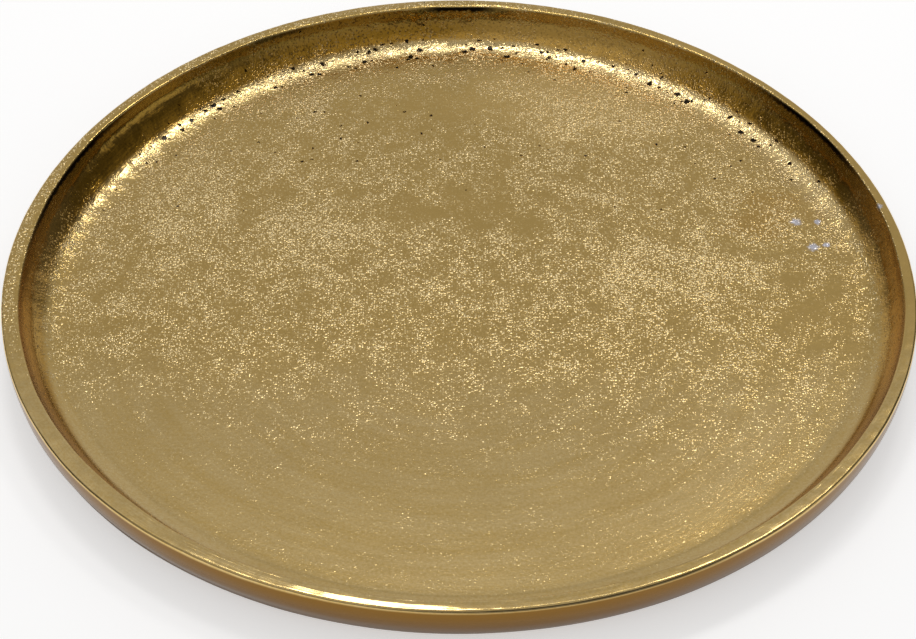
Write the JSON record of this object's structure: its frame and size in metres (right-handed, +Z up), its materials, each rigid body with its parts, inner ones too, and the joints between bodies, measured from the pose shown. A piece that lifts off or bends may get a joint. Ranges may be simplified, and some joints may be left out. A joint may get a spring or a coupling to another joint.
{
  "type": "candle plate",
  "caption": "Shallow round sand-cast metal candle plate with a low flat-topped rim, a flat floor and felt pads underneath.",
  "frame": {"origin": "on the surface that the pads stand on, under the middle of the plate", "axes": "+Z up, square to the floor of the plate; +X to the right and +Y to the back as the picture shows it"},
  "size_m": [0.28, 0.28, 0.0167],
  "materials": {
    "gold_casting": "sand-cast, brushed by hand in places, gold metallic lacquer",
    "pad_felt": "pressed wool felt",
    "pad_adhesive": "acrylic adhesive film"
  },
  "bodies": {
    "root": {"plate_casting": "gold_casting", "felt_pad_1": "pad_felt", "adhesive_disc_1": "pad_adhesive", "felt_pad_2": "pad_felt", "adhesive_disc_2": "pad_adhesive", "felt_pad_3": "pad_felt", "adhesive_disc_3": "pad_adhesive", "felt_pad_4": "pad_felt", "adhesive_disc_4": "pad_adhesive"}
  },
  "joints": []
}
